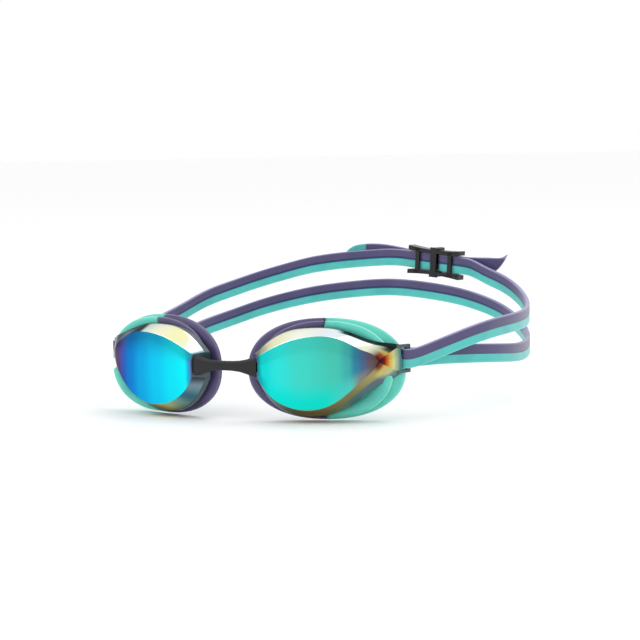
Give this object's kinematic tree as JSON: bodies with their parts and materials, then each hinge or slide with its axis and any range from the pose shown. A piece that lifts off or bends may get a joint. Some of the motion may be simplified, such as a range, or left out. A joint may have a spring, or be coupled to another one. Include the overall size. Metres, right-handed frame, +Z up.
{
  "type": "swim goggles",
  "caption": "Low-profile racing swim goggles with mirrored wraparound lenses, two-colour seal gaskets, a snap-in nose bridge and a split strap with an adjuster buckle.",
  "frame": {"origin": "midway between the eyecups, on the plane of the gasket ridges, at eye height", "axes": "+X to the wearer's left, +Y toward the head and the back of the strap, +Z up"},
  "size_m": [0.1768, 0.165, 0.061],
  "materials": {
    "mirror_lens": "iridescent mirror coating on polycarbonate",
    "gasket_purple": "satin silicone",
    "gasket_mint": "satin silicone",
    "strap_purple": "satin silicone",
    "strap_mint": "satin silicone",
    "bridge_black": "satin moulded plastic",
    "buckle_black": "satin moulded plastic"
  },
  "bodies": {
    "goggle_frame": {"lens_left": "mirror_lens", "lens_right": "mirror_lens", "gasket_left_nose": "gasket_purple", "gasket_left_temple": "gasket_mint", "gasket_right_nose": "gasket_purple", "gasket_right_temple": "gasket_mint", "strap_turn_left_purple": "strap_purple", "strap_turn_right_purple": "strap_purple", "strap_turn_left_mint": "strap_mint", "strap_turn_right_mint": "strap_mint"},
    "bridge": {"nose_bridge": "bridge_black"},
    "upper_strand": {"upper_left_purple": "strap_purple", "upper_left_mint": "strap_mint", "upper_right_purple": "strap_purple", "upper_right_mint": "strap_mint", "adjuster_buckle": "buckle_black"},
    "lower_strand": {"lower_purple": "strap_purple", "lower_mint": "strap_mint"},
    "tail_left": {"tail_left": "strap_purple"},
    "tail_right": {"tail_right": "strap_purple", "tail_right_tip": "strap_mint"}
  },
  "joints": [
    {"name": "bridge_pull", "type": "slide", "parent": "goggle_frame", "child": "bridge", "axis": [0, -1, 0], "range_m": [0, 0.008]},
    {"name": "upper_strand_swing", "type": "hinge", "parent": "goggle_frame", "child": "upper_strand", "pos_m": [0, 0.01741, 0.0038], "axis": [1, 0, 0], "range_deg": [-1, 25], "stiffness_Nm_per_rad": 0.4, "springref_deg": 1},
    {"name": "lower_strand_swing", "type": "hinge", "parent": "goggle_frame", "child": "lower_strand", "pos_m": [0, 0.01741, 0.0038], "axis": [1, 0, 0], "range_deg": [-14, 1], "stiffness_Nm_per_rad": 0.4, "springref_deg": 0.63},
    {"name": "tail_left_flap", "type": "hinge", "parent": "upper_strand", "child": "tail_left", "pos_m": [0.0397, 0.14463, 0.03164], "axis": [0.0888, -0.0181, 0.9959], "range_deg": [0, 25], "stiffness_Nm_per_rad": 0.003},
    {"name": "tail_right_flap", "type": "hinge", "parent": "upper_strand", "child": "tail_right", "pos_m": [0.00837, 0.151, 0.03456], "axis": [-0.0888, 0.0181, -0.9959], "range_deg": [0, 25], "stiffness_Nm_per_rad": 0.003}
  ]
}
